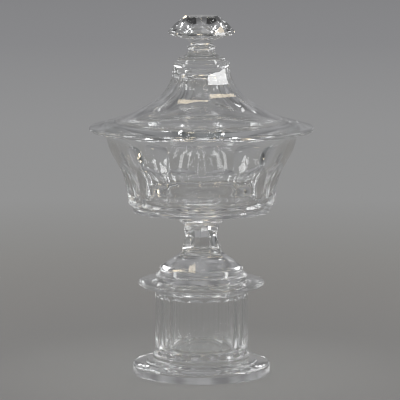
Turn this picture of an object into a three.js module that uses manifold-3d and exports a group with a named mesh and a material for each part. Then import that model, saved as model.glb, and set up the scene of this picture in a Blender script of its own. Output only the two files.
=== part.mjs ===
// A covered bowl of cut glass. Three loose pieces stand on each other: a hollow fluted pedestal, a bowl
// on a stem and stepped foot, and a bell-shaped lid with a faceted knob. Each loose piece is a stack of
// gathers of glass that were joined hot, and every gather is one solid here. Millimetres, +Z up, with the
// origin in the middle of the pedestal's underside. The front of the bowl looks towards -Y.

import * as THREE from 'three';
import { ConvexGeometry } from 'three/addons/geometries/ConvexGeometry.js';
import { mergeVertices, toCreasedNormals } from 'three/addons/utils/BufferGeometryUtils.js';
import Module from 'manifold-3d';

// Pedestal base: a thick disc, a low step and a rounded ring
const baseRadius = 55.75;
const baseDiscHeight = 8.75;
const baseFootRound = 1;
const baseEdgeRound = 1.75;
const baseStepRadius = 45;
const baseStepHeight = 1.5;
const baseRingRadius = 39.5;
const baseRingHeight = 6;
const baseRingRound = 1.5;

// Pedestal column: a fluted tumbler with its mouth flared into a flat flange
const columnHeight = 59.5;
const columnRadius = 37.75;
const columnFlutes = 16;
const columnFluteTurn = 3.7;
const columnFluteFoot = 3.5;
const columnFluteTop = 49.25;
const columnFluteArch = 4;
const columnFloor = 3;
const cavityRadius = 30.75;
const cavityCorner = 6;
const flangeRadius = 50.75;
const flangeEdge = 3.75;
const flangeRound = 1.25;
const flangeSlope = 10;
const mouthRound = 1;

// Foot of the bowl: a ring that stands on the flange, a step and a cone
const footHeight = 24;
const footRingRadius = 37;
const footRingHeight = 5.5;
const footStepRadius = 33.75;
const footStepHeight = 5.5;
const footConeRadius = 24;
const footConeHeight = 18;
const footPanelEnd = 15.5;
const footPanelArch = 6.5;
const footHollowDepth = 1.25;
const footSeatWidth = 5;
const footEdgeRound = 0.75;

// Stem: six-sided, drawn in at the waist below a small knop
const stemHeight = 21.25;
const stemSides = 6;
const stemTurn = -3;
const stemFootRadius = 18;
const stemShoulderRadius = 16.25;
const stemShoulderHeight = 7.5;
const stemWaistRadius = 14.5;
const stemWaistHeight = 12.75;
const stemKnopRadius = 16;
const stemKnopHeight = 18.25;
const stemTopRadius = 14.5;

// Stem collar: the glass that spreads out under the bowl, past a small ring
const collarHeight = 11.5;
const collarFootRadius = 14;
const collarFootSlope = 75;
const collarRingFoot = 2.25;
const collarRingRadius = 17.5;
const collarRingHeight = 2.5;
const collarTopRadius = 23;
const collarTopSlope = 30;

// Bowl: a thick disc, and a flaring wall cut with arched flutes
const bowlHeight = 67.25;
const bowlDiscRadius = 55.5;
const bowlDiscHeight = 4.25;
const bowlDiscRound = 0.75;
const bowlShoulderRadius = 60;
const bowlShoulderHeight = 9;
const bowlFlutes = 14;
const bowlFluteTurn = 0;
const fluteRidgeRadius = 64.25;
const fluteRidgeHeight = 30.5;
const fluteTopRadius = 70.25;
const fluteTopHeight = 42.5;
const bowlRimRadius = 77;
const bowlRimBand = 4.75;
const bowlFloor = 8.5;
const bowlFloorCorner = 9;
const bowlWall = 5.25;
const bowlRimWall = 4;
const rimRound = 1;

// Slopes of the bowl's wall in degrees: 0 points out from the axis and 90 straight up
const shoulderSlope = 10;
const wallFootSlope = 84;
const fluteRidgeSlope = 72;
const fluteTopSlope = 59;

// Lid: a bell with flat panels, a drooping brim and a flange that drops into the bowl's mouth
const lidHeight = 49.25;
const brimRadius = 90.75;
const brimEdge = 4;
const brimDroop = 2;
const brimShoulderRadius = 68;
const brimShoulderHeight = 7.5;
const bellRadius = 23.5;
const bellWall = 4.5;
const bellDomeHeight = 7;
const bellRoof = 4;
const lidPanels = 8;
const lidPanelTurn = 11;
const lidPanelEnd = 17.25;
const lidPanelArch = 14;
const lidFlangeDepth = 5;
const lidFlangeWall = 3.5;
const lidFlangeRound = 0.5;
const lidClearance = 1.25;

// Lid collar: two steps between the bell and the knob
const lidCollarHeight = 9;
const lidCollarRadius = 22.5;
const lidCollarStep = 3.75;
const lidCollarRound = 0.75;
const lidCollarStepRadius = 19.25;
const lidCollarTopRadius = 15;

// Knob: a neck with a small ring, and a crown cut with facets round a flat table
const knobFacets = 8;
const neckFootSlope = 150;
const neckRingFoot = 5.25;
const neckRingFootRadius = 10;
const neckRingHeight = 3.25;
const neckRingRadius = 11.25;
const neckRadius = 9;
const neckHeight = 9.25;
const neckTopRadius = 12.5;
const neckTopSlope = 40;
const crownFootRadius = 13.5;
const crownFootHeight = 13.75;
const crownFootSlope = 14;
const knobRadius = 26.75;
const girdleHeight = 17.75;
const girdleWidth = 2.25;
const girdleSlope = 70;
const crownRadius = 22;
const crownHeight = 25.25;
const tableRadius = 13.5;
const tableHeight = 32.25;

// Fineness of the facets
const roundSteps = 60;
const smallSteps = 36;
const cutParts = 24;
const edgeSteps = 2;
const bendSteps = 3;
const archSteps = 5;

// The least angle in degrees between two faces that shows as a sharp edge
const creaseAngle = 20;

const baseHeight = baseDiscHeight + baseStepHeight + baseRingHeight;
const columnFootRadius = baseRingRadius - baseRingRound;
const pedestalHeight = baseHeight + columnHeight;
const lidFlangeRadius = bowlRimRadius - bowlRimWall - lidClearance;

const wasm = await Module();
wasm.setup();

function point(radius, height) {
  return new THREE.Vector2(radius, height);
}

// A direction in the outline's plane: 0 points out from the axis and 90 straight up
function slope(degrees) {
  const angle = THREE.MathUtils.degToRad(degrees);
  return point(Math.cos(angle), Math.sin(angle));
}

const outward = slope(0);
const inward = slope(180);
const up = slope(90);
const down = slope(-90);

// A smooth curve that leaves one point in one direction and reaches the next in another. Where the two
// directions don't meet between the points, it runs straight.
function bendCurve(from, leave, to, arrive) {
  const reach = to.clone().sub(from).cross(arrive) / leave.cross(arrive);
  const corner = from.clone().addScaledVector(leave, reach);
  const meets = reach > 0 && to.clone().sub(corner).dot(arrive) > 0;
  return meets ? new THREE.QuadraticBezierCurve(from, corner, to) : new THREE.LineCurve(from, to);
}

function bend(from, leave, to, arrive, steps) {
  return bendCurve(from, leave, to, arrive).getPoints(steps).slice(1);
}

// Points along a curve that carries an arched cut, closer together towards the arch's tip
function archPoints(curve) {
  const points = [];
  for (let step = 1; step <= archSteps; step += 1) {
    points.push(curve.getPoint(Math.sin(Math.PI / 2 * step / archSteps)));
  }
  return points;
}

// An arc of an edge, about a centre
function round(centreRadius, centreHeight, radius, degreesFrom, degreesTo, steps) {
  const centre = point(centreRadius, centreHeight);
  const points = [];
  for (let step = 0; step <= steps; step += 1) {
    const direction = slope(degreesFrom + (degreesTo - degreesFrom) * step / steps);
    points.push(direction.multiplyScalar(radius).add(centre));
  }
  return points;
}

// A plain turned solid
function lathe(outline, steps) {
  return new THREE.LatheGeometry(outline, steps).rotateX(Math.PI / 2);
}

// Angles round one ring of a cut solid: on each side a round stretch, the flat, and a round stretch
// again. share is the part of the side that is ground flat, from 0 for a circle to 1 for a polygon.
function ringAngles({ sides, turn }, share) {
  const roundParts = Math.ceil(cutParts / sides);
  const half = Math.PI / sides;
  const flat = half * share;
  const front = THREE.MathUtils.degToRad(turn) - Math.PI / 2;
  const angles = [];
  for (let side = 0; side < sides; side += 1) {
    const middle = front + half * (2 * side + 1);
    for (let part = 0; part <= roundParts; part += 1) {
      angles.push(middle - half + (half - flat) * part / roundParts);
    }
    for (let part = 0; part < roundParts; part += 1) {
      angles.push(middle + flat + (half - flat) * part / roundParts);
    }
  }
  return angles;
}

// A turned solid with flats ground round its cut stretch. The outline runs from the axis through the
// stretches before, cut and after, and back to the axis. shareAt gives the flat share at a point.
function cutSolid({ before, cut, after, shareAt, ...sides }) {
  const ring = (share) => ({ x, y }) => ringAngles(sides, share({ x, y })).map((angle) =>
    new THREE.Vector3(x * Math.cos(angle), x * Math.sin(angle), y));
  const plain = () => 0;
  const rings = [...before.map(ring(plain)), ...cut.map(ring(shareAt)), ...after.map(ring(plain))];
  const corners = [];
  for (let row = 1; row < rings.length; row += 1) {
    const low = rings[row - 1];
    const high = rings[row];
    for (let here = 0; here < low.length; here += 1) {
      const next = (here + 1) % low.length;
      corners.push(low[here], low[next], high[next]);
      corners.push(low[here], high[next], high[here]);
    }
  }
  return closed(new THREE.BufferGeometry().setFromPoints(corners));
}

// Joins the corners that coincide and leaves out the triangles that shrank to a line
function closed(geometry) {
  const joined = mergeVertices(geometry, 1e-4);
  const index = joined.index.array;
  const kept = [];
  for (let at = 0; at < index.length; at += 3) {
    const [a, b, c] = index.slice(at, at + 3);
    if (a !== b && b !== c && c !== a) kept.push(a, b, c);
  }
  joined.setIndex(kept);
  return joined;
}

// The flat share of an arched cut: full up to the spring of the arch, then an ellipse to its tip
function arch(height, spring, tip) {
  const rise = (height - spring) / (tip - spring);
  if (rise <= 0) return 1;
  return rise < 1 ? Math.sqrt(1 - rise * rise) : 0;
}

// The flat share where the flat of a straight polygon runs out on a narrower stretch
function runOut(radius, ridgeRadius, sides) {
  const half = Math.PI / sides;
  const flat = ridgeRadius * Math.cos(half);
  return radius > flat ? Math.min(1, Math.acos(flat / radius) / half) : 0;
}

function toManifold(geometry) {
  const bare = geometry.clone();
  bare.deleteAttribute('normal');
  bare.deleteAttribute('uv');
  const merged = mergeVertices(bare, 1e-4);
  return new wasm.Manifold(new wasm.Mesh({
    numProp: 3,
    vertProperties: new Float32Array(merged.attributes.position.array),
    triVerts: new Uint32Array(merged.index.array),
  }));
}

function fromManifold(solid) {
  const mesh = solid.getMesh();
  const geometry = new THREE.BufferGeometry();
  geometry.setAttribute('position', new THREE.BufferAttribute(mesh.vertProperties, 3));
  geometry.setIndex(new THREE.BufferAttribute(mesh.triVerts, 1));
  return geometry;
}

function pedestalBase() {
  const stepTop = baseDiscHeight + baseStepHeight;
  const stepFoot = point(baseStepRadius, baseDiscHeight);
  const stepEdge = point(baseStepRadius - baseStepHeight, stepTop);
  const edge = baseRadius - baseEdgeRound;
  const ringRound = baseRingHeight / 2;
  return lathe([
    point(0, 0),
    ...round(baseRadius - baseFootRound, baseFootRound, baseFootRound, -90, 0, edgeSteps),
    ...round(edge, baseDiscHeight - baseEdgeRound, baseEdgeRound, 0, 90, edgeSteps),
    stepFoot,
    ...bend(stepFoot, up, stepEdge, inward, edgeSteps),
    ...round(baseRingRadius - ringRound, stepTop + ringRound, ringRound, -90, 0, edgeSteps),
    ...round(columnFootRadius, baseHeight - baseRingRound, baseRingRound, 0, 90, edgeSteps),
    point(0, baseHeight),
  ], roundSteps);
}

function pedestalColumn() {
  const spring = columnFluteTop - columnFluteArch;
  const coveFoot = point(columnRadius, columnFluteTop + columnFluteArch / 4);
  const edge = flangeRadius - flangeRound;
  const coveTip = point(edge, columnHeight - flangeEdge);
  const fluteSpring = point(columnRadius, spring);
  const fluteTip = point(columnRadius, columnFluteTop);
  return cutSolid({
    sides: columnFlutes,
    turn: columnFluteTurn,
    shareAt: ({ y }) => (y < columnFluteFoot ? 0 : arch(y, spring, columnFluteTop)),
    before: [point(0, 0), point(columnFootRadius, 0)],
    cut: [
      point(columnRadius, columnFluteFoot / 2),
      point(columnRadius, columnFluteFoot),
      fluteSpring,
      ...archPoints(new THREE.LineCurve(fluteSpring, fluteTip)),
    ],
    after: [
      coveFoot,
      ...bend(coveFoot, up, coveTip, slope(flangeSlope), bendSteps),
      ...round(edge, columnHeight - flangeEdge + flangeRound, flangeRound, -45, 0, 1),
      ...round(edge, columnHeight - flangeRound, flangeRound, 0, 90, edgeSteps),
      ...round(cavityRadius + mouthRound, columnHeight - mouthRound, mouthRound, 90, 180, edgeSteps),
      ...round(cavityRadius - cavityCorner, columnFloor + cavityCorner, cavityCorner, 0, -90, bendSteps),
      point(0, columnFloor),
    ],
  });
}

function foot() {
  const seat = footRingRadius - footEdgeRound;
  const stepTop = footRingHeight + footStepHeight;
  const cone = point(footConeRadius, footConeHeight);
  const shoulder = point(footStepRadius - footEdgeRound, stepTop);
  const coneSlope = cone.clone().sub(shoulder).normalize();
  const panelEnd = shoulder.clone().lerp(cone, (footPanelEnd - stepTop) / (footConeHeight - stepTop));
  const ringEdge = point(seat, footRingHeight);
  const stepFoot = point(footStepRadius, footRingHeight + footEdgeRound);
  return cutSolid({
    sides: stemSides,
    turn: stemTurn,
    shareAt: ({ y }) => arch(y, footPanelEnd + footPanelArch, footPanelEnd),
    before: [
      point(0, footHollowDepth),
      point(seat - footSeatWidth - footHollowDepth, footHollowDepth),
      point(seat - footSeatWidth, 0),
      ...round(seat, footEdgeRound, footEdgeRound, -90, 0, 1),
      ...round(seat, footRingHeight - footEdgeRound, footEdgeRound, 0, 90, 1),
      ...bend(ringEdge, inward, stepFoot, up, edgeSteps),
      ...round(shoulder.x, stepTop - footEdgeRound, footEdgeRound, 0, 90, 1),
    ],
    cut: [
      panelEnd,
      cone,
      ...bend(cone, coneSlope, point(stemFootRadius, footHeight), up, archSteps),
    ],
    after: [point(0, footHeight)],
  });
}

function stem() {
  return cutSolid({
    sides: stemSides,
    turn: stemTurn,
    shareAt: () => 1,
    before: [point(0, 0)],
    cut: [
      point(stemFootRadius, 0),
      point(stemShoulderRadius, stemShoulderHeight),
      point(stemWaistRadius, stemWaistHeight),
      point(stemKnopRadius, stemKnopHeight),
      point(stemTopRadius, stemHeight),
    ],
    after: [point(0, stemHeight)],
  });
}

function stemCollar() {
  const foot = point(collarFootRadius, 0);
  const ringRound = collarRingHeight / 2;
  const ringFoot = point(collarRingRadius - ringRound, collarRingFoot);
  const neck = point(ringFoot.x, collarRingFoot + collarRingHeight);
  return lathe([
    point(0, 0),
    foot,
    ...bend(foot, slope(collarFootSlope), ringFoot, outward, edgeSteps),
    ...round(neck.x, collarRingFoot + ringRound, ringRound, -45, 90, 2 * edgeSteps),
    ...bend(neck, up, point(collarTopRadius, collarHeight), slope(collarTopSlope), bendSteps),
    point(0, collarHeight),
  ], smallSteps);
}

function bowl() {
  const discEdge = bowlDiscRadius - bowlDiscRound;
  const groove = point(discEdge - bowlDiscRound, bowlDiscHeight);
  const wallFoot = point(bowlShoulderRadius, bowlShoulderHeight);
  const ridge = point(fluteRidgeRadius, fluteRidgeHeight);
  const tip = point(fluteTopRadius, fluteTopHeight);
  const rim = point(bowlRimRadius, bowlHeight - bowlRimBand);
  const insideRim = point(bowlRimRadius - bowlRimWall, bowlHeight - bowlRimBand);
  const insideTip = point(fluteTopRadius - bowlWall, fluteTopHeight);
  const insideFoot = point(bowlShoulderRadius - bowlWall, bowlFloor + bowlFloorCorner);
  const floorEdge = point(insideFoot.x - bowlFloorCorner, bowlFloor);
  return cutSolid({
    sides: bowlFlutes,
    turn: bowlFluteTurn,
    shareAt: ({ x, y }) => (y < bowlShoulderHeight
      ? runOut(x, bowlShoulderRadius, bowlFlutes)
      : arch(y, fluteRidgeHeight, fluteTopHeight)),
    before: [
      point(0, 0),
      ...round(discEdge, bowlDiscRound, bowlDiscRound, -90, 0, 1),
      ...round(discEdge, bowlDiscHeight - bowlDiscRound, bowlDiscRound, 0, 90, 1),
      groove,
    ],
    cut: [
      ...bend(groove, slope(shoulderSlope), wallFoot, slope(wallFootSlope), bendSteps),
      ...bend(wallFoot, slope(wallFootSlope), ridge, slope(fluteRidgeSlope), bendSteps),
      ...archPoints(bendCurve(ridge, slope(fluteRidgeSlope), tip, slope(fluteTopSlope))),
    ],
    after: [
      ...bend(tip, slope(fluteTopSlope), rim, up, bendSteps),
      ...round(bowlRimRadius - rimRound, bowlHeight - rimRound, rimRound, 0, 90, edgeSteps),
      ...round(insideRim.x + rimRound, bowlHeight - rimRound, rimRound, 90, 180, edgeSteps),
      insideRim,
      ...bend(insideRim, down, insideTip, slope(fluteTopSlope - 180), bendSteps),
      ...bend(insideTip, slope(fluteTopSlope - 180), insideFoot, slope(wallFootSlope - 180), bendSteps),
      ...bend(insideFoot, slope(wallFootSlope - 180), floorEdge, inward, bendSteps),
      point(0, bowlFloor),
    ],
  });
}

function lid() {
  const tipRound = brimEdge / 2;
  const tip = point(brimRadius - tipRound, tipRound - brimDroop);
  const shoulder = point(brimShoulderRadius, brimShoulderHeight);
  const brimSlope = shoulder.clone().sub(tip).normalize();
  const inwardNormal = point(-brimSlope.y, brimSlope.x);
  const insideShoulder = shoulder.clone().addScaledVector(inwardNormal, bellWall);
  const insideTop = point(bellRadius - bellWall, lidHeight - bellRoof - bellDomeHeight);
  const insideSlope = brimSlope.clone().negate();
  const roof = point(0, lidHeight - bellRoof);
  const flangeTop = point(lidFlangeRadius - lidFlangeWall, 0);
  const flangeFoot = lidFlangeRound - lidFlangeDepth;
  return cutSolid({
    sides: lidPanels,
    turn: lidPanelTurn,
    shareAt: ({ y }) => arch(y, lidPanelEnd + lidPanelArch, lidPanelEnd),
    before: [
      roof,
      ...bend(roof, outward, insideTop, down, bendSteps),
      ...bend(insideTop, down, insideShoulder, insideSlope, 2 * bendSteps),
      ...bend(insideShoulder, insideSlope, flangeTop, down, edgeSteps),
      ...round(flangeTop.x + lidFlangeRound, flangeFoot, lidFlangeRound, 180, 270, 1),
      ...round(lidFlangeRadius - lidFlangeRound, flangeFoot, lidFlangeRound, -90, 0, 1),
      point(lidFlangeRadius, 0),
      point(bowlRimRadius, 0),
      ...round(tip.x, tip.y, tipRound, -90, 75, 2 * edgeSteps),
    ],
    cut: [
      shoulder,
      ...bend(shoulder, brimSlope, point(bellRadius, lidHeight), up, 3 * bendSteps),
    ],
    after: [point(0, lidHeight)],
  });
}

function lidCollar() {
  const edge = lidCollarRadius - lidCollarRound;
  const step = point(lidCollarStepRadius, lidCollarStep);
  return lathe([
    point(0, 0),
    ...round(edge, lidCollarRound, lidCollarRound, -90, 0, 1),
    ...round(edge, lidCollarStep - lidCollarRound, lidCollarRound, 0, 90, 1),
    step,
    ...bend(step, up, point(lidCollarTopRadius, lidCollarHeight), inward, bendSteps),
    point(0, lidCollarHeight),
  ], smallSteps);
}

// Points evenly round a circle, from the front
function ringPoints({ x: radius, y: height }, count) {
  const points = [];
  for (let at = 0; at < count; at += 1) {
    const angle = 2 * Math.PI * at / count - Math.PI / 2;
    points.push(new THREE.Vector3(radius * Math.cos(angle), radius * Math.sin(angle), height));
  }
  return points;
}

// The crown's facets come from rings of corners: one flat facet from each side of the table, and below it
// a triangle that points down to the girdle, with two small facets between each two triangles
function knobCrown() {
  const crownFoot = point(crownFootRadius, crownFootHeight);
  const girdle = point(knobRadius, girdleHeight);
  const underside = bend(crownFoot, slope(crownFootSlope), girdle, slope(girdleSlope), bendSteps);
  return new ConvexGeometry([
    ...ringPoints(crownFoot, 2 * knobFacets),
    ...underside.flatMap((corner) => ringPoints(corner, 2 * knobFacets)),
    ...ringPoints(point(knobRadius, girdleHeight + girdleWidth), 2 * knobFacets),
    ...ringPoints(point(crownRadius, crownHeight), knobFacets),
    ...ringPoints(point(tableRadius, tableHeight), knobFacets),
  ]);
}

function knob() {
  const neckFoot = point(lidCollarTopRadius, 0);
  const ringFoot = point(neckRingFootRadius, neckRingFoot);
  const ringRound = neckRingHeight / 2;
  const waist = point(neckRadius, neckHeight);
  const neckTop = point(neckTopRadius, crownFootHeight);
  const neck = lathe([
    point(0, 0),
    neckFoot,
    ...bend(neckFoot, slope(neckFootSlope), ringFoot, up, bendSteps),
    ...round(neckRingRadius - ringRound, neckRingFoot + ringRound, ringRound, -70, 90, 2 * edgeSteps),
    waist,
    ...bend(waist, up, neckTop, slope(neckTopSlope), bendSteps),
    point(0, girdleHeight),
  ], smallSteps);
  return fromManifold(toManifold(neck).add(toManifold(knobCrown())));
}

function piece(name, geometry, height) {
  const material = new THREE.MeshStandardMaterial({
    color: 0xe6ecec,
    roughness: 0.05,
    metalness: 0,
    transparent: true,
    opacity: 0.35,
  });
  const mesh = new THREE.Mesh(toCreasedNormals(geometry, THREE.MathUtils.degToRad(creaseAngle)), material);
  mesh.name = name;
  mesh.position.z = height;
  return mesh;
}

function stack(height, pieces) {
  const group = new THREE.Group();
  group.position.z = height;
  group.add(...pieces);
  return group;
}

const stemFoot = footHeight;
const collarFoot = stemFoot + stemHeight;
const bowlFoot = collarFoot + collarHeight;
const rimHeight = bowlFoot + bowlHeight;

const lidStack = stack(rimHeight, [
  piece('lid', lid(), 0),
  piece('lid_collar', lidCollar(), lidHeight),
  piece('lid_knob', knob(), lidHeight + lidCollarHeight),
]);

const bowlStack = stack(pedestalHeight, [
  piece('foot', foot(), 0),
  piece('stem', stem(), stemFoot),
  piece('stem_collar', stemCollar(), collarFoot),
  piece('bowl', bowl(), bowlFoot),
  lidStack,
]);

const coveredBowl = stack(0, [
  piece('pedestal_base', pedestalBase(), 0),
  piece('pedestal_column', pedestalColumn(), baseHeight),
  bowlStack,
]);

export default coveredBowl;
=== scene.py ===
"""Looks for a covered bowl of cut glass, on a plain floor in soft studio light.

Each loose piece of glass is one continuous body, so it is one closed mesh here: a turned outline in
millimetres, whose cut stretches have flats ground round them. A piece starts on the axis, goes once round
its outline and ends on the axis again. Heights are counted from each gather's foot, as the frame gives it.
Lengths are in millimetres, and turns and slopes in degrees, where a comment doesn't say otherwise.
"""

import math

import bmesh
import bpy
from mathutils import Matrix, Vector


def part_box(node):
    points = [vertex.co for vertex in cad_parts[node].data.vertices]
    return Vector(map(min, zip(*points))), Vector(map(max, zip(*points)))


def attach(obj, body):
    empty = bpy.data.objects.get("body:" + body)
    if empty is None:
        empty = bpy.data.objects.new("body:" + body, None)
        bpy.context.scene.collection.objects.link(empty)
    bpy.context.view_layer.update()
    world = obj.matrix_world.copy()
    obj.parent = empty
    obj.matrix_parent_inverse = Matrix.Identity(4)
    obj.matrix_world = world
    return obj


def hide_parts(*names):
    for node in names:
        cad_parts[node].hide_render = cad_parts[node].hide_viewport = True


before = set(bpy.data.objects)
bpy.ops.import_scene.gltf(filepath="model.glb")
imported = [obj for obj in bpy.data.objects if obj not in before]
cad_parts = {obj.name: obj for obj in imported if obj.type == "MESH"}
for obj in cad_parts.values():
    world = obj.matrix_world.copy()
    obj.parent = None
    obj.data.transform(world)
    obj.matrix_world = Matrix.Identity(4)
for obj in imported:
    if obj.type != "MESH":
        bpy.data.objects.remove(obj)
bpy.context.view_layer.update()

MM = 0.001
FRONT = -math.pi / 2
FULL_TURN = 2 * math.pi

# Pedestal base
BASE_RADIUS = 55.75
BASE_DISC_HEIGHT = 8.75
BASE_FOOT_ROUND = 1
BASE_EDGE_ROUND = 1.75
BASE_STEP_RADIUS = 45
BASE_STEP_HEIGHT = 1.5
BASE_RING_RADIUS = 39.5
BASE_RING_HEIGHT = 6
BASE_RING_ROUND = 1.5

# Pedestal column
COLUMN_HEIGHT = 59.5
COLUMN_RADIUS = 37.75
COLUMN_FLUTES = 16
COLUMN_FLUTE_TURN = 3.7
COLUMN_FLUTE_HOLLOW = 0.7
COLUMN_FLUTE_FOOT = 3.5
COLUMN_FLUTE_TOP = 49.25
COLUMN_FLUTE_ARCH = 4
COLUMN_COVE_GAP = 1
COLUMN_FLOOR = 3
CAVITY_RADIUS = 30.75
CAVITY_CORNER = 6
FLANGE_RADIUS = 50.75
FLANGE_EDGE = 3.75
FLANGE_ROUND = 1.25
FLANGE_SLOPE = 10
MOUTH_ROUND = 1

# Foot of the bowl
FOOT_HEIGHT = 24
FOOT_RING_RADIUS = 37
FOOT_RING_HEIGHT = 5.5
FOOT_STEP_RADIUS = 33.75
FOOT_STEP_HEIGHT = 5.5
FOOT_CONE_RADIUS = 24
FOOT_CONE_HEIGHT = 18
FOOT_PANEL_END = 15.5
FOOT_PANEL_ARCH = 6.5
FOOT_HOLLOW_DEPTH = 1.25
FOOT_SEAT_WIDTH = 5
FOOT_EDGE_ROUND = 0.75

# Stem
STEM_SIDES = 6
STEM_TURN = -3
STEM_FOOT_RADIUS = 18
STEM_OUTLINE = ((16.25, 7.5), (14.5, 12.75), (16, 18.25), (14.5, 21.25))

# Stem collar
COLLAR_HEIGHT = 11.5
COLLAR_FOOT_RADIUS = 14
COLLAR_FOOT_SLOPE = 75
COLLAR_RING_FOOT = 2.25
COLLAR_RING_RADIUS = 17.5
COLLAR_RING_HEIGHT = 2.5
COLLAR_RING_START = -80
COLLAR_TOP_RADIUS = 23
COLLAR_TOP_SLOPE = 30

# Bowl
BOWL_HEIGHT = 67.25
BOWL_DISC_RADIUS = 55.5
BOWL_DISC_HEIGHT = 4.25
BOWL_DISC_ROUND = 0.75
BOWL_SHOULDER_RADIUS = 60
BOWL_SHOULDER_HEIGHT = 9
BOWL_FLUTES = 14
BOWL_FLUTE_TURN = 0
BOWL_FLUTE_HOLLOW = 1.0
FLUTE_RIDGE_RADIUS = 64.25
FLUTE_RIDGE_HEIGHT = 30.5
FLUTE_TOP_RADIUS = 70.25
FLUTE_TOP_HEIGHT = 42.5
BOWL_RIM_RADIUS = 77
BOWL_RIM_BAND = 4.75
BOWL_FLOOR = 8.5
BOWL_FLOOR_CORNER = 9
BOWL_WALL = 5.25
BOWL_RIM_WALL = 4
RIM_ROUND = 1
SHOULDER_SLOPE = 10
WALL_FOOT_SLOPE = 84
FLUTE_RIDGE_SLOPE = 72
FLUTE_TOP_SLOPE = 59

# Lid
LID_HEIGHT = 49.25
BRIM_RADIUS = 90.75
BRIM_EDGE = 4
BRIM_EDGE_END = 78
BRIM_DROOP = 2
BRIM_SHOULDER_RADIUS = 68
BRIM_SHOULDER_HEIGHT = 7.5
BELL_RADIUS = 23.5
BELL_WALL = 4.5
BELL_DOME_HEIGHT = 7
BELL_ROOF = 4
LID_PANELS = 8
LID_PANEL_TURN = 11
LID_PANEL_END = 17.25
LID_PANEL_ARCH = 14
LID_FLANGE_DEPTH = 5
LID_FLANGE_WALL = 3.5
LID_FLANGE_ROUND = 0.5
LID_CLEARANCE = 1.25

# Lid collar
LID_COLLAR_HEIGHT = 9
LID_COLLAR_RADIUS = 22.5
LID_COLLAR_STEP = 3.75
LID_COLLAR_ROUND = 0.75
LID_COLLAR_STEP_RADIUS = 19.25
LID_COLLAR_TOP_RADIUS = 15

# Knob
KNOB_FACETS = 8
NECK_FOOT_SLOPE = 150
NECK_RING_FOOT = 5.25
NECK_RING_FOOT_RADIUS = 10
NECK_RING_HEIGHT = 3.25
NECK_RING_START = -70
NECK_RING_RADIUS = 11.25
NECK_RADIUS = 9
NECK_HEIGHT = 9.25
NECK_TOP_RADIUS = 12.5
NECK_TOP_SLOPE = 40
CROWN_FOOT_RADIUS = 13.5
CROWN_FOOT_HEIGHT = 13.75
CROWN_FOOT_SLOPE = 14
KNOB_RADIUS = 26.75
GIRDLE_HEIGHT = 17.75
GIRDLE_WIDTH = 2.25
GIRDLE_SLOPE = 70
CROWN_RADIUS = 22
CROWN_HEIGHT = 25.25
TABLE_RADIUS = 13.5
TABLE_HEIGHT = 32.25

# How finely the meshes are divided: a plain ring, the round stretches of a cut one, a flat, and the steps
# along an edge, a bend and an arched cut
PLAIN_CORNERS = 224
ROUND_CORNERS = 112
FLAT_PARTS = 8
EDGE_STEPS = 5
BEND_STEPS = 12
ARCH_STEPS = 18

# What polishing softens on each side of a cut's edge, the largest share of a stretch that it may take, and
# the bevel on a facet's edge
SOFT_EDGE = 0.5
SOFT_SHARE = 0.3
FACET_BEVEL = 0.3

# The air at a seat, and the distance or angle below which two corners are one
SEAT_GAP = 0.1
SAME = 1e-5

# How much two faces may turn before the edge between them is sharp, along a ring and elsewhere, and before
# a facet's edge is bevelled
RING_CREASE = 24
FACET_CREASE = 2.4
FACET_TURN = 12

# Glass: its tint, the tint of light that goes straight on through it, and its index of refraction
GLASS_TINT = (0.99, 0.994, 0.995, 1)
PASSING_TINT = (0.93, 0.94, 0.94, 1)
GLASS_IOR = 1.53

# The glass's waves, with their depth in metres, its haze, and the scratches on faces that point down. A
# span is where something comes in: haze and scratches over part of their noise, and pointing down over part
# of the normal's height.
WAVE_SCALE = 40
WAVE_STRENGTH = 0.2
WAVE_DEPTH = 0.0002
HAZE_SCALE = 90
HAZE_SPAN = (0.5, 0.8)
HAZE_ROUGHNESS = 0.03
SCRATCH_SCALE = 700
SCRATCH_SPAN = (0.4, 0.7)
SCRATCH_ROUGHNESS = 0.05
DOWNWARD_SPAN = (-0.97, -1)

# Light is at its end after more than 4 mirrorings, or more than 12 turns of any kind
MIRRORINGS = 4.5
TURNS = 12.5

# Camera: its place in metres, and how far down it looks
CAMERA_LENS = 222
CAMERA_SENSOR = 36
CAMERA_PLACE = (-0.0012, -1.98016, 0.401396)
CAMERA_DOWN = 7.486

# Floor, in metres: its radius, the air under the ground glass that stands on it, and the span of distances
# over which the share of its even light goes from the first level to the second
FLOOR_SIZE = 8
FLOOR_CORNERS = 96
FLOOR_GAP = 0.0002
FLOOR_ROUGHNESS = 0.9
FLOOR_SHINE = 0.1
FADE_SPAN = (0.1, 0.7)
FADE_LEVELS = (0.35, 1.0)

# Backdrop: the light that falls on surfaces, and what the camera and the glass see instead. It is dim in
# directions towards the camera's side, by their part along Y. Where their part along X is small, straight
# behind and in front of the bowl, the ceiling's dark starts higher up. Noise makes it uneven.
SURFACE_LIGHT = (0.6, 0.6, 0.605, 1)
ROOM_SPAN = (-0.7, -0.3)
ROOM_LEVELS = (0.4, 1.0)
STRIP_SPAN = (0.1, 0.18)
STRIP_RISES = (0.25, 0.0)
PATCH_SCALE = 5
PATCH_SPAN = (0.35, 0.65)
PATCH_LEVELS = (0.7, 1.3)

# Where lamps aim, in metres, and the lamps that face the bowl: turn to the right of the camera's side,
# rise, distance, width and height in metres, and brightness
LAMP_AIM = Vector((0, 0, 0.16))
BOWL_LAMPS = {
    "right_window": (72.5, 16, 1.6, 0.31, 1.2, 11),
    "left_window": (-78, 16, 1.6, 0.31, 1.2, 8),
    "left_softbox": (-41, 40, 1.8, 0.28, 0.6, 6),
    "right_softbox": (41, 40, 1.8, 0.28, 0.6, 6),
    "left_lamp": (-152, 40, 1.8, 0.1, 0.1, 4),
    "right_lamp": (152, 42, 1.8, 0.1, 0.1, 4),
    "top_softbox": (20, 78, 1.6, 0.6, 0.6, 2),
}

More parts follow.
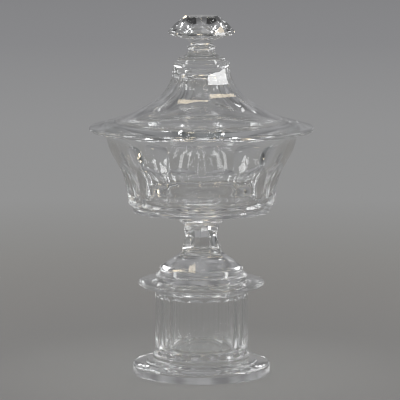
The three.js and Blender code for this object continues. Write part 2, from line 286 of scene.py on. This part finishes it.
# Warm lamps in the ceiling: place along X, width and depth, in metres. They hang a little behind the bowl
# and lean towards the camera.
CEILING_LAMPS = {
    "right_ceiling_lamp": (0.97, 0.36, 0.32),
    "left_ceiling_lamp": (-0.29, 0.3, 0.32),
}
CEILING_LAMP_BACK = 0.27
CEILING_HEIGHT = 1.7
CEILING_BRIGHTNESS = 7
WARM = (1.0, 0.85, 0.62)

# Greys of the floor by distance from the bowl, in metres, darker from 0.12 to 0.35 m as a painted shadow
# round the bowl, and of the backdrop by the height of the direction that it is seen in, where 0 is level
# and 1 is straight up
FLOOR_GREYS_AND_PAINTED_SHADOW = (
    (0.0, (0.232, 0.232, 0.230)),
    (0.12, (0.218, 0.217, 0.215)),
    (0.2, (0.203, 0.201, 0.199)),
    (0.35, (0.222, 0.218, 0.213)),
    (0.62, (0.252, 0.248, 0.240)),
    (1.1, (0.292, 0.292, 0.292)),
    (2.0, (0.287, 0.287, 0.290)),
    (4.0, (0.246, 0.246, 0.254)),
    (8.0, (0.220, 0.220, 0.227)),
)
BACKDROP_GREYS = (
    (0.0, (0.255, 0.255, 0.260)),
    (0.12, (0.265, 0.265, 0.270)),
    (0.30, (0.320, 0.320, 0.327)),
    (0.50, (0.285, 0.285, 0.291)),
    (0.68, (0.150, 0.150, 0.153)),
    (0.77, (0.045, 0.045, 0.046)),
    (1.0, (0.015, 0.015, 0.016)),
)


def point(radius, height):
    return Vector((radius, height))


def slope(degrees):
    """A direction in the outline's plane: 0 points out from the axis and 90 straight up."""
    angle = math.radians(degrees)
    return point(math.cos(angle), math.sin(angle))


OUTWARD = slope(0)
INWARD = slope(180)
UP = slope(90)
DOWN = slope(-90)


def cross(a, b):
    return a.x * b.y - a.y * b.x


def bend_at(start, leave, end, arrive):
    """A smooth curve, as a function of 0 to 1, that leaves and arrives in the given directions."""
    reach = cross(end - start, arrive) / cross(leave, arrive)
    corner = start + leave * reach
    return lambda t: start * (1 - t) ** 2 + corner * 2 * t * (1 - t) + end * t ** 2


def bend(start, leave, end, arrive, steps=BEND_STEPS):
    curve = bend_at(start, leave, end, arrive)
    return [curve(step / steps) for step in range(1, steps + 1)]


def line_at(start, end):
    return lambda t: start.lerp(end, t)


def arch_points(curve):
    """Points along a curve that carries an arched cut, closer together towards the arch's tip."""
    return [curve(math.sin(math.pi / 2 * step / ARCH_STEPS)) for step in range(1, ARCH_STEPS + 1)]


def rounded(radius, height, size, start, end, steps=EDGE_STEPS):
    """An arc of an edge about a centre, between two slopes in degrees."""
    turn = (end - start) / steps
    return [point(radius, height) + slope(start + turn * step) * size for step in range(steps + 1)]


def arch(height, spring, tip):
    """The flat share of an arched cut: full up to the spring, then an ellipse to its tip."""
    rise = (height - spring) / (tip - spring)
    if rise <= 0:
        return 1.0
    return math.sqrt(1 - rise * rise) if rise < 1 else 0.0


def run_out(radius, ridge, sides):
    """The flat share where a flat of a straight polygon runs out on a narrower stretch."""
    half = math.pi / sides
    flat = ridge * math.cos(half)
    return min(1.0, math.acos(flat / radius) / half) if radius > flat else 0.0


def plain(outline, lift, corners=PLAIN_CORNERS):
    """Round rings along an outline, lifted by a height. Each ring has a layout, corners and a height."""
    angles = [FRONT + FULL_TURN * at / corners for at in range(corners)]
    return [(corners, [(angle, p.x) for angle in angles], p.y + lift) for p in outline]


def unsoftened(length):
    """The share of a stretch that is left between its start and the softening at its end."""
    return 1 - min(SOFT_SHARE, SOFT_EDGE / max(length, SAME))


def side_corners(radius, middle, half, share, hollow, round_parts):
    """The corners of one side: a round stretch, the flat with its slight hollow, and a round stretch. A
    corner lies close by on each side of the edge between them, so that it is softened by polishing."""
    flat = half * share
    stop = unsoftened(radius * (half - flat))
    stretch = [part / round_parts * stop for part in range(round_parts)] + [stop]
    before = [(middle - half + (half - flat) * part, radius) for part in stretch]
    after = [(middle + half - (half - flat) * part, radius) for part in (1, *reversed(stretch[1:]))]
    stop = unsoftened(radius * math.sin(flat))
    inner = [(2 * part / FLAT_PARTS - 1) * stop for part in range(FLAT_PARTS + 1)]
    across = []
    for place in (-1, *inner):
        inward = radius * math.cos(flat) - hollow * share * (1 - place * place)
        along = radius * math.sin(flat) * place
        across.append((middle + math.atan2(along, inward), math.hypot(along, inward)))
    return before + across + after


def cut(outline, lift, sides, turn, share_at, hollow=0.0):
    """Rings along an outline with flats ground round it. share_at gives the flat share at a point."""
    half = math.pi / sides
    front = FRONT + math.radians(turn)
    round_parts = math.ceil(ROUND_CORNERS / sides)
    rings = []
    for p in outline:
        corners = []
        for side in range(sides):
            middle = front + half * (2 * side + 1)
            corners += side_corners(p.x, middle, half, share_at(p), hollow, round_parts)
        rings.append(((sides, turn), corners, p.y + lift))
    return rings


def add_ring(vertices, corners, height):
    """Adds a ring's vertices, sharing those that coincide, and returns pairs of angle and index."""
    ring = []
    first = len(vertices)
    for angle, radius in corners:
        place = Vector((radius * math.cos(angle), radius * math.sin(angle), height))
        if len(vertices) == first or (vertices[-1] - place).length > SAME:
            vertices.append(place)
        ring.append((angle, len(vertices) - 1))
    last = len(vertices) - 1
    if last > first and (vertices[last] - vertices[first]).length <= SAME:
        vertices.pop()
        ring = [(angle, first if index == last else index) for angle, index in ring]
    return ring


def unrolled(ring, start):
    """A ring's corners by their angle past the start, closed on itself."""
    ordered = sorted(((angle - start + SAME) % FULL_TURN, index) for angle, index in ring)
    return [index for _, index in ordered] + [ordered[0][1]]


def stitch(low, high, vertices):
    """Triangles between two rings of unlike corners, with the shorter diagonal each time."""
    start = low[0][0]
    lower = unrolled(low, start)
    upper = unrolled(high, start)
    faces = []
    i = j = 0
    while i < len(lower) - 1 or j < len(upper) - 1:
        along = across = math.inf
        if i < len(lower) - 1:
            along = (vertices[lower[i + 1]] - vertices[upper[j]]).length
        if j < len(upper) - 1:
            across = (vertices[lower[i]] - vertices[upper[j + 1]]).length
        if along <= across:
            faces.append((lower[i], lower[i + 1], upper[j]))
            i += 1
        else:
            faces.append((lower[i], upper[j + 1], upper[j]))
            j += 1
    return faces


def quads(low, high):
    count = len(low)
    faces = []
    for at in range(count):
        after = (at + 1) % count
        faces.append((low[at][1], low[after][1], high[after][1], high[at][1]))
    return faces


def skin(rings):
    """The vertices and faces of a closed solid through all its rings, and its vertices by layout."""
    vertices = []
    faces = []
    by_layout = {}
    below = None
    for layout, corners, height in rings:
        ring = add_ring(vertices, corners if corners[0][1] > SAME else [(FRONT, 0.0)], height)
        by_layout.setdefault(layout, set()).update(index for _, index in ring)
        if below and below[0] == layout and len(below[1]) == len(ring):
            faces += quads(below[1], ring)
        elif below:
            faces += stitch(below[1], ring, vertices)
        below = (layout, ring)
    distinct = [tuple(dict.fromkeys(face)) for face in faces]
    return vertices, [face for face in distinct if len(face) > 2], by_layout


def glass_piece(name, rings, material):
    """A mesh object of one loose piece of glass, smooth along its curves and over the softened edges of
    its cuts, and sharp between the knob's facets, apart from a narrow bevel."""
    vertices, faces, by_layout = skin(rings)
    on_cuts = set().union(*[held for layout, held in by_layout.items() if isinstance(layout, tuple)])
    on_facets = by_layout.get(KNOB_FACETS, set()) | by_layout.get(2 * KNOB_FACETS, set())
    mesh = bpy.data.meshes.new(name)
    mesh.from_pydata([place * MM for place in vertices], [], faces)
    body = bmesh.new()
    body.from_mesh(mesh)
    for face in body.faces:
        face.smooth = True
    for edge in body.edges:
        along_ring = abs(edge.verts[0].co.z - edge.verts[1].co.z) < SAME * MM
        softened = on_cuts.issuperset(vertex.index for vertex in edge.verts)
        crease = RING_CREASE if along_ring else FACET_CREASE
        edge.smooth = (softened and not along_ring) or edge.calc_face_angle(0) < math.radians(crease)
    facet_edges = [edge for edge in body.edges
                   if on_facets.issuperset(vertex.index for vertex in edge.verts)
                   and edge.calc_face_angle(0) > math.radians(FACET_TURN)]
    bevelled = bmesh.ops.bevel(body, geom=facet_edges, offset=FACET_BEVEL * MM, offset_type="OFFSET",
                               segments=2, profile=0.5, affect="EDGES", clamp_overlap=True)
    for edge in {edge for face in bevelled["faces"] for edge in face.edges}:
        edge.smooth = edge.calc_face_angle(0) < math.radians(FACET_CREASE)
    body.to_mesh(mesh)
    body.free()
    mesh.materials.append(material)
    piece = bpy.data.objects.new(name, mesh)
    bpy.context.collection.objects.link(piece)
    return piece


def foot_of(node):
    """The height of a gather's foot, in millimetres."""
    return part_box(node)[0].z / MM


def base_rings():
    lift = foot_of("pedestal_base")
    step_top = BASE_DISC_HEIGHT + BASE_STEP_HEIGHT
    step_foot = point(BASE_STEP_RADIUS, BASE_DISC_HEIGHT)
    step_edge = point(BASE_STEP_RADIUS - BASE_STEP_HEIGHT, step_top)
    foot_edge = BASE_RADIUS - BASE_FOOT_ROUND
    edge = BASE_RADIUS - BASE_EDGE_ROUND
    ring_round = BASE_RING_HEIGHT / 2
    ring_top = step_top + BASE_RING_HEIGHT - BASE_RING_ROUND
    return plain([
        point(0, 0),
        *rounded(foot_edge, BASE_FOOT_ROUND, BASE_FOOT_ROUND, -90, 0),
        *rounded(edge, BASE_DISC_HEIGHT - BASE_EDGE_ROUND, BASE_EDGE_ROUND, 0, 90),
        step_foot,
        *bend(step_foot, UP, step_edge, INWARD, EDGE_STEPS),
        *rounded(BASE_RING_RADIUS - ring_round, step_top + ring_round, ring_round, -90, 0),
        *rounded(BASE_RING_RADIUS - BASE_RING_ROUND, ring_top, BASE_RING_ROUND, 0, 90),
    ], lift)


def column_rings():
    lift = foot_of("pedestal_column")
    spring = COLUMN_FLUTE_TOP - COLUMN_FLUTE_ARCH
    flute_foot = point(COLUMN_RADIUS, COLUMN_FLUTE_FOOT)
    flute_spring = point(COLUMN_RADIUS, spring)
    flute_tip = point(COLUMN_RADIUS, COLUMN_FLUTE_TOP)
    cove_foot = point(COLUMN_RADIUS, COLUMN_FLUTE_TOP + COLUMN_COVE_GAP)
    edge = FLANGE_RADIUS - FLANGE_ROUND
    cove_tip = point(edge, COLUMN_HEIGHT - FLANGE_EDGE)
    mouth = CAVITY_RADIUS + MOUTH_ROUND
    corner = point(CAVITY_RADIUS - CAVITY_CORNER, COLUMN_FLOOR + CAVITY_CORNER)
    flutes = cut(
        [point(COLUMN_RADIUS, COLUMN_FLUTE_FOOT / 2), flute_foot, flute_spring,
         *arch_points(line_at(flute_spring, flute_tip))],
        lift, COLUMN_FLUTES, COLUMN_FLUTE_TURN,
        lambda p: 0.0 if p.y < COLUMN_FLUTE_FOOT else arch(p.y, spring, COLUMN_FLUTE_TOP),
        COLUMN_FLUTE_HOLLOW,
    )
    above = plain([
        cove_foot,
        *bend(cove_foot, UP, cove_tip, slope(FLANGE_SLOPE)),
        *rounded(edge, COLUMN_HEIGHT - FLANGE_EDGE + FLANGE_ROUND, FLANGE_ROUND, FLANGE_SLOPE - 90, 0),
        *rounded(edge, COLUMN_HEIGHT - FLANGE_ROUND, FLANGE_ROUND, 0, 90),
        *rounded(mouth, COLUMN_HEIGHT - MOUTH_ROUND, MOUTH_ROUND, 90, 180),
        *rounded(corner.x, corner.y, CAVITY_CORNER, 0, -90, BEND_STEPS),
        point(0, COLUMN_FLOOR),
    ], lift)
    return flutes + above


def foot_rings():
    lift = foot_of("foot")
    seat = FOOT_RING_RADIUS - FOOT_EDGE_ROUND
    step_top = FOOT_RING_HEIGHT + FOOT_STEP_HEIGHT
    shoulder = point(FOOT_STEP_RADIUS - FOOT_EDGE_ROUND, step_top)
    cone = point(FOOT_CONE_RADIUS, FOOT_CONE_HEIGHT)
    cone_slope = (cone - shoulder).normalized()
    top = point(STEM_FOOT_RADIUS, FOOT_HEIGHT)
    below = plain([
        point(0, FOOT_HOLLOW_DEPTH),
        point(seat - FOOT_SEAT_WIDTH - FOOT_HOLLOW_DEPTH, FOOT_HOLLOW_DEPTH),
        point(seat - FOOT_SEAT_WIDTH, SEAT_GAP),
        *rounded(seat, FOOT_EDGE_ROUND + SEAT_GAP, FOOT_EDGE_ROUND, -90, 0),
        *rounded(seat, FOOT_RING_HEIGHT - FOOT_EDGE_ROUND, FOOT_EDGE_ROUND, 0, 90),
        *bend(point(seat, FOOT_RING_HEIGHT), INWARD,
              point(FOOT_STEP_RADIUS, FOOT_RING_HEIGHT + FOOT_EDGE_ROUND), UP, EDGE_STEPS),
        *rounded(shoulder.x, step_top - FOOT_EDGE_ROUND, FOOT_EDGE_ROUND, 0, 90),
    ], lift)
    panel_end = shoulder.lerp(cone, (FOOT_PANEL_END - step_top) / (FOOT_CONE_HEIGHT - step_top))
    panels = cut(
        [panel_end, *[panel_end.lerp(cone, step / EDGE_STEPS) for step in range(1, EDGE_STEPS + 1)],
         *bend(cone, cone_slope, top, UP)],
        lift, STEM_SIDES, STEM_TURN,
        lambda p: arch(p.y, FOOT_PANEL_END + FOOT_PANEL_ARCH, FOOT_PANEL_END),
    )
    return below + panels


def stem_rings():
    outline = [point(radius, height) for radius, height in STEM_OUTLINE]
    stem = cut(outline, foot_of("stem"), STEM_SIDES, STEM_TURN, lambda p: 1.0)
    foot = point(COLLAR_FOOT_RADIUS, 0)
    ring_round = COLLAR_RING_HEIGHT / 2
    ring_foot = point(COLLAR_RING_RADIUS - ring_round, COLLAR_RING_FOOT)
    neck = point(ring_foot.x, COLLAR_RING_FOOT + COLLAR_RING_HEIGHT)
    collar = plain([
        *bend(foot, slope(COLLAR_FOOT_SLOPE), ring_foot, OUTWARD, EDGE_STEPS),
        *rounded(neck.x, COLLAR_RING_FOOT + ring_round, ring_round, COLLAR_RING_START, 90, 2 * EDGE_STEPS),
        *bend(neck, UP, point(COLLAR_TOP_RADIUS, COLLAR_HEIGHT), slope(COLLAR_TOP_SLOPE)),
    ], foot_of("stem_collar"))
    return stem + collar


def bowl_rings():
    lift = foot_of("bowl")
    disc_edge = BOWL_DISC_RADIUS - BOWL_DISC_ROUND
    groove = point(disc_edge - BOWL_DISC_ROUND, BOWL_DISC_HEIGHT)
    wall_foot = point(BOWL_SHOULDER_RADIUS, BOWL_SHOULDER_HEIGHT)
    ridge = point(FLUTE_RIDGE_RADIUS, FLUTE_RIDGE_HEIGHT)
    tip = point(FLUTE_TOP_RADIUS, FLUTE_TOP_HEIGHT)
    rim = point(BOWL_RIM_RADIUS, BOWL_HEIGHT - BOWL_RIM_BAND)
    inside_rim = point(BOWL_RIM_RADIUS - BOWL_RIM_WALL, BOWL_HEIGHT - BOWL_RIM_BAND)
    inside_tip = point(FLUTE_TOP_RADIUS - BOWL_WALL, FLUTE_TOP_HEIGHT)
    inside_foot = point(BOWL_SHOULDER_RADIUS - BOWL_WALL, BOWL_FLOOR + BOWL_FLOOR_CORNER)
    floor_edge = point(inside_foot.x - BOWL_FLOOR_CORNER, BOWL_FLOOR)
    disc = plain([
        *rounded(disc_edge, BOWL_DISC_ROUND, BOWL_DISC_ROUND, -90, 0),
        *rounded(disc_edge, BOWL_DISC_HEIGHT - BOWL_DISC_ROUND, BOWL_DISC_ROUND, 0, 90),
        groove,
    ], lift)

    def flute_share(p):
        if p.y < BOWL_SHOULDER_HEIGHT:
            return run_out(p.x, BOWL_SHOULDER_RADIUS, BOWL_FLUTES)
        return arch(p.y, FLUTE_RIDGE_HEIGHT, FLUTE_TOP_HEIGHT)

    flutes = cut(
        [*bend(groove, slope(SHOULDER_SLOPE), wall_foot, slope(WALL_FOOT_SLOPE), 2 * BEND_STEPS),
         *bend(wall_foot, slope(WALL_FOOT_SLOPE), ridge, slope(FLUTE_RIDGE_SLOPE)),
         *arch_points(bend_at(ridge, slope(FLUTE_RIDGE_SLOPE), tip, slope(FLUTE_TOP_SLOPE)))],
        lift, BOWL_FLUTES, BOWL_FLUTE_TURN, flute_share, BOWL_FLUTE_HOLLOW,
    )
    inside = plain([
        *bend(tip, slope(FLUTE_TOP_SLOPE), rim, UP),
        *rounded(BOWL_RIM_RADIUS - RIM_ROUND, BOWL_HEIGHT - RIM_ROUND, RIM_ROUND, 0, 90),
        *rounded(inside_rim.x + RIM_ROUND, BOWL_HEIGHT - RIM_ROUND, RIM_ROUND, 90, 180),
        inside_rim,
        *bend(inside_rim, DOWN, inside_tip, slope(FLUTE_TOP_SLOPE - 180)),
        *bend(inside_tip, slope(FLUTE_TOP_SLOPE - 180), inside_foot, slope(WALL_FOOT_SLOPE - 180)),
        *bend(inside_foot, slope(WALL_FOOT_SLOPE - 180), floor_edge, INWARD),
        point(0, BOWL_FLOOR),
    ], lift)
    return disc + flutes + inside


def lid_rings():
    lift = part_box("bowl")[1].z / MM
    tip_round = BRIM_EDGE / 2
    tip = point(BRIM_RADIUS - tip_round, tip_round - BRIM_DROOP)
    shoulder = point(BRIM_SHOULDER_RADIUS, BRIM_SHOULDER_HEIGHT)
    brim_slope = (shoulder - tip).normalized()
    inside_shoulder = shoulder + point(-brim_slope.y, brim_slope.x) * BELL_WALL
    inside_top = point(BELL_RADIUS - BELL_WALL, LID_HEIGHT - BELL_ROOF - BELL_DOME_HEIGHT)
    roof = point(0, LID_HEIGHT - BELL_ROOF)
    flange = BOWL_RIM_RADIUS - BOWL_RIM_WALL - LID_CLEARANCE
    flange_top = point(flange - LID_FLANGE_WALL, 0)
    flange_foot = LID_FLANGE_ROUND - LID_FLANGE_DEPTH
    below = plain([
        roof,
        *bend(roof, OUTWARD, inside_top, DOWN),
        *bend(inside_top, DOWN, inside_shoulder, -brim_slope, 2 * BEND_STEPS),
        *bend(inside_shoulder, -brim_slope, flange_top, DOWN, EDGE_STEPS),
        *rounded(flange_top.x + LID_FLANGE_ROUND, flange_foot, LID_FLANGE_ROUND, 180, 270),
        *rounded(flange - LID_FLANGE_ROUND, flange_foot, LID_FLANGE_ROUND, -90, 0),
        point(flange, SEAT_GAP),
        point(BOWL_RIM_RADIUS, SEAT_GAP),
        *rounded(tip.x, tip.y, tip_round, -90, BRIM_EDGE_END, 2 * EDGE_STEPS),
    ], lift)
    panels = cut(
        [shoulder, *bend(shoulder, brim_slope, point(BELL_RADIUS, LID_HEIGHT), UP, 4 * BEND_STEPS)],
        lift, LID_PANELS, LID_PANEL_TURN,
        lambda p: arch(p.y, LID_PANEL_END + LID_PANEL_ARCH, LID_PANEL_END),
    )
    return below + panels


def lid_collar_rings():
    edge = LID_COLLAR_RADIUS - LID_COLLAR_ROUND
    step = point(LID_COLLAR_STEP_RADIUS, LID_COLLAR_STEP)
    return plain([
        *rounded(edge, LID_COLLAR_ROUND, LID_COLLAR_ROUND, -90, 0),
        *rounded(edge, LID_COLLAR_STEP - LID_COLLAR_ROUND, LID_COLLAR_ROUND, 0, 90),
        step,
        *bend(step, UP, point(LID_COLLAR_TOP_RADIUS, LID_COLLAR_HEIGHT), INWARD),
    ], foot_of("lid_collar"))


def knob_rings():
    """The neck with its small ring, and the crown: one flat facet from each side of the table, and below
    it a triangle that points down to the girdle, with two small facets between each two triangles."""
    lift = foot_of("lid_knob")
    ring_round = NECK_RING_HEIGHT / 2
    ring_foot = point(NECK_RING_FOOT_RADIUS, NECK_RING_FOOT)
    ring = point(NECK_RING_RADIUS - ring_round, NECK_RING_FOOT + ring_round)
    waist = point(NECK_RADIUS, NECK_HEIGHT)
    crown_foot = point(CROWN_FOOT_RADIUS, CROWN_FOOT_HEIGHT)
    girdle = point(KNOB_RADIUS, GIRDLE_HEIGHT)
    neck = plain([
        *bend(point(LID_COLLAR_TOP_RADIUS, 0), slope(NECK_FOOT_SLOPE), ring_foot, UP),
        *rounded(ring.x, ring.y, ring_round, NECK_RING_START, 90, 2 * EDGE_STEPS),
        waist,
        *bend(waist, UP, point(NECK_TOP_RADIUS, CROWN_FOOT_HEIGHT), slope(NECK_TOP_SLOPE)),
    ], lift)
    underside = bend(crown_foot, slope(CROWN_FOOT_SLOPE), girdle, slope(GIRDLE_SLOPE))
    girdle_top = point(KNOB_RADIUS, GIRDLE_HEIGHT + GIRDLE_WIDTH)
    crown = plain([crown_foot, *underside, girdle_top], lift, 2 * KNOB_FACETS)
    table = [point(CROWN_RADIUS, CROWN_HEIGHT), point(TABLE_RADIUS, TABLE_HEIGHT), point(0, TABLE_HEIGHT)]
    return neck + crown + plain(table, lift, KNOB_FACETS)


def add_node(tree, kind, inputs=(), **settings):
    """A shader node with some settings and inputs. An input is a value, or another node's output."""
    node = tree.nodes.new("ShaderNode" + kind)
    for name, value in settings.items():
        setattr(node, name, value)
    for name, value in dict(inputs).items():
        if isinstance(value, bpy.types.NodeSocket):
            tree.links.new(value, node.inputs[name])
        else:
            node.inputs[name].default_value = value
    return node


def grey_ramp(tree, place, greys):
    """A colour by place, from pairs of place and grey."""
    ramp = add_node(tree, "ValToRGB", {"Fac": place})
    stops = ramp.color_ramp.elements
    while len(stops) < len(greys):
        stops.new(1)
    for stop, (position, grey) in zip(stops, greys):
        stop.position = position
        stop.color = (*grey, 1)
    return ramp.outputs["Color"]


def maths(tree, operation, *values, **settings):
    """The result of a Math node. A value is a number, or another node's output."""
    return add_node(tree, "Math", dict(enumerate(values)), operation=operation, **settings).outputs[0]


def mapped(tree, value, span, levels):
    """A number that goes from the first level to the second while the value goes over the span."""
    inputs = {"Value": value, "From Min": span[0], "From Max": span[1],
              "To Min": levels[0], "To Max": levels[1]}
    return add_node(tree, "MapRange", inputs).outputs["Result"]


def noise(tree, place, scale, detail):
    return add_node(tree, "TexNoise", {"Vector": place, "Scale": scale, "Detail": detail}).outputs["Fac"]


def show_mix(tree, output, share, first, second):
    """Shows a mix of two shaders: the first where the share is 0, and the second where it is 1."""
    mix = add_node(tree, "MixShader", {0: share, 1: first, 2: second})
    tree.links.new(mix.outputs[0], tree.nodes[output].inputs["Surface"])


def seen_directly(tree):
    """1 for what the camera sees, also by a reflection or through glass, and 0 for light on surfaces."""
    path = add_node(tree, "LightPath")
    mirrored = maths(tree, "ADD", path.outputs["Is Camera Ray"], path.outputs["Is Glossy Ray"],
                     use_clamp=True)
    return maths(tree, "ADD", mirrored, path.outputs["Is Transmission Ray"], use_clamp=True)


def at_its_end(tree):
    """1 for light that Cycles follows to the next surface and no further, and 0 for other light."""
    path = add_node(tree, "LightPath")
    mirrored = maths(tree, "GREATER_THAN", path.outputs["Glossy Depth"], MIRRORINGS)
    turned = maths(tree, "GREATER_THAN", path.outputs["Ray Depth"], TURNS)
    return maths(tree, "MAXIMUM", mirrored, turned)


def glass():
    """Clear glass, very slightly wavy, with a little haze from handling, and finely scratched where it
    stands. It lets the lamps through, because clear glass throws hardly any shadow. Light at its end goes
    straight on through it, so that what was mirrored many times inside it isn't lost."""
    material = bpy.data.materials.new("cut_glass")
    material.use_nodes = True
    tree = material.node_tree
    shader = tree.nodes["Principled BSDF"]
    shader.inputs["Base Color"].default_value = GLASS_TINT
    shader.inputs["Transmission Weight"].default_value = 1
    shader.inputs["IOR"].default_value = GLASS_IOR
    place = add_node(tree, "TexCoord")
    waves = noise(tree, place.outputs["Object"], WAVE_SCALE, detail=0)
    bump = add_node(tree, "Bump", {"Height": waves, "Strength": WAVE_STRENGTH, "Distance": WAVE_DEPTH})
    smear = noise(tree, place.outputs["Object"], HAZE_SCALE, detail=4)
    haze = mapped(tree, smear, HAZE_SPAN, (0.0, HAZE_ROUGHNESS))
    facing = add_node(tree, "SeparateXYZ", {"Vector": place.outputs["Normal"]})
    standing = mapped(tree, facing.outputs["Z"], DOWNWARD_SPAN, (0.0, 1.0))
    scratches = noise(tree, place.outputs["Object"], SCRATCH_SCALE, detail=3)
    scratched = mapped(tree, scratches, SCRATCH_SPAN, (0.0, SCRATCH_ROUGHNESS))
    worn = maths(tree, "MULTIPLY", standing, scratched)
    tree.links.new(bump.outputs["Normal"], shader.inputs["Normal"])
    tree.links.new(maths(tree, "MAXIMUM", haze, worn), shader.inputs["Roughness"])
    clear = add_node(tree, "BsdfTransparent", {"Color": PASSING_TINT})
    path = add_node(tree, "LightPath")
    passes = maths(tree, "MAXIMUM", path.outputs["Is Shadow Ray"], at_its_end(tree))
    show_mix(tree, "Material Output", passes, shader.outputs["BSDF"], clear.outputs["BSDF"])
    return material


def make_camera():
    """A long lens, slightly above the bowl, as in the photograph."""
    camera = bpy.data.cameras.new("camera")
    camera.lens = CAMERA_LENS
    camera.sensor_width = CAMERA_SENSOR
    holder = bpy.data.objects.new("camera", camera)
    holder.location = CAMERA_PLACE
    holder.rotation_euler = (math.radians(90 - CAMERA_DOWN), 0, 0)
    bpy.context.collection.objects.link(holder)
    bpy.context.scene.camera = holder


def make_floor():
    """A plain floor, whose grey is darker in a ring round the bowl as a painted shadow. Its light fades to
    an even level away from the bowl, so it reads as a backdrop.
    """
    mesh = bpy.data.meshes.new("floor")
    disc = bmesh.new()
    bmesh.ops.create_circle(disc, cap_ends=True, radius=FLOOR_SIZE, segments=FLOOR_CORNERS)
    for corner in disc.verts:
        corner.co.z = -FLOOR_GAP
    disc.to_mesh(mesh)
    disc.free()
    material = bpy.data.materials.new("floor")
    material.use_nodes = True
    tree = material.node_tree
    place = add_node(tree, "TexCoord")
    away = add_node(tree, "VectorMath", {0: place.outputs["Object"]}, operation="LENGTH").outputs["Value"]
    # The greys hold a painted shadow: darker from 0.12 to 0.35 m from the bowl, also in the even light.
    stops = [(distance / FLOOR_SIZE, grey) for distance, grey in FLOOR_GREYS_AND_PAINTED_SHADOW]
    greys = grey_ramp(tree, maths(tree, "DIVIDE", away, FLOOR_SIZE), stops)
    shader = tree.nodes["Principled BSDF"]
    shader.inputs["Roughness"].default_value = FLOOR_ROUGHNESS
    shader.inputs["Specular IOR Level"].default_value = FLOOR_SHINE
    tree.links.new(greys, shader.inputs["Base Color"])
    even = add_node(tree, "Emission", {"Color": greys, "Strength": 1})
    far = mapped(tree, away, FADE_SPAN, FADE_LEVELS)
    share = maths(tree, "MAXIMUM", far, at_its_end(tree))
    seen = maths(tree, "MULTIPLY", share, seen_directly(tree))
    show_mix(tree, "Material Output", seen, shader.outputs["BSDF"], even.outputs["Emission"])
    mesh.materials.append(material)
    floor = bpy.data.objects.new("floor", mesh)
    bpy.context.collection.objects.link(floor)


def make_world():
    """Plain grey light for surfaces. The camera and the glass see a grey backdrop under a dark ceiling,
    which starts higher up straight behind and in front of the bowl, and a dim room on the camera's side."""
    world = bpy.data.worlds.new("studio")
    world.use_nodes = True
    tree = world.node_tree
    light = tree.nodes["Background"]
    light.inputs["Color"].default_value = SURFACE_LIGHT
    place = add_node(tree, "TexCoord")
    way = add_node(tree, "SeparateXYZ", {"Vector": place.outputs["Generated"]})
    dim = mapped(tree, way.outputs["Y"], ROOM_SPAN, ROOM_LEVELS)
    lowered = mapped(tree, maths(tree, "ABSOLUTE", way.outputs["X"]), STRIP_SPAN, STRIP_RISES)
    height = maths(tree, "SUBTRACT", way.outputs["Z"], lowered)
    patches = noise(tree, place.outputs["Generated"], PATCH_SCALE, detail=1)
    strength = maths(tree, "MULTIPLY", dim, mapped(tree, patches, PATCH_SPAN, PATCH_LEVELS))
    greys = grey_ramp(tree, height, BACKDROP_GREYS)
    backdrop = add_node(tree, "Background", {"Color": greys, "Strength": strength})
    show_mix(tree, "World Output", seen_directly(tree), light.outputs[0], backdrop.outputs[0])
    bpy.context.scene.world = world


def make_lamp(name, place, aim, size, brightness, colour=(1, 1, 1)):
    """A soft rectangular lamp that faces where it aims, with its width level."""
    lamp = bpy.data.lights.new(name, "AREA")
    lamp.shape = "RECTANGLE"
    lamp.size, lamp.size_y = size
    lamp.energy = brightness * math.pi * size[0] * size[1]
    lamp.color = colour
    holder = bpy.data.objects.new(name, lamp)
    holder.location = place
    holder.rotation_euler = (aim - place).to_track_quat("-Z", "Y").to_euler()
    bpy.context.collection.objects.link(holder)


def from_bowl(turn, rise, away):
    """A place by its turn to the right of the camera's side, its rise, and how far it is from the bowl."""
    turn, rise = math.radians(turn), math.radians(rise)
    out = Vector((math.sin(turn) * math.cos(rise), -math.cos(turn) * math.cos(rise), math.sin(rise)))
    return LAMP_AIM + out * away


clear_glass = glass()
pedestal = glass_piece("pedestal_glass", base_rings() + column_rings(), clear_glass)
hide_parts("pedestal_base", "pedestal_column")
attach(pedestal, "pedestal")
bowl = glass_piece("bowl_glass", foot_rings() + stem_rings() + bowl_rings(), clear_glass)
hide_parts("foot", "stem", "stem_collar", "bowl")
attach(bowl, "bowl")
lid = glass_piece("lid_glass", lid_rings() + lid_collar_rings() + knob_rings(), clear_glass)
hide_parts("lid", "lid_collar", "lid_knob")
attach(lid, "lid")

make_camera()
make_floor()
make_world()
for name, (turn, rise, away, width, height, brightness) in BOWL_LAMPS.items():
    make_lamp(name, from_bowl(turn, rise, away), LAMP_AIM, (width, height), brightness)
for name, (across, width, depth) in CEILING_LAMPS.items():
    place = Vector((across, CEILING_LAMP_BACK, CEILING_HEIGHT))
    aim = Vector((across, 0, LAMP_AIM.z))
    make_lamp(name, place, aim, (width, depth), CEILING_BRIGHTNESS, WARM)
bpy.context.scene.view_settings.view_transform = "Standard"
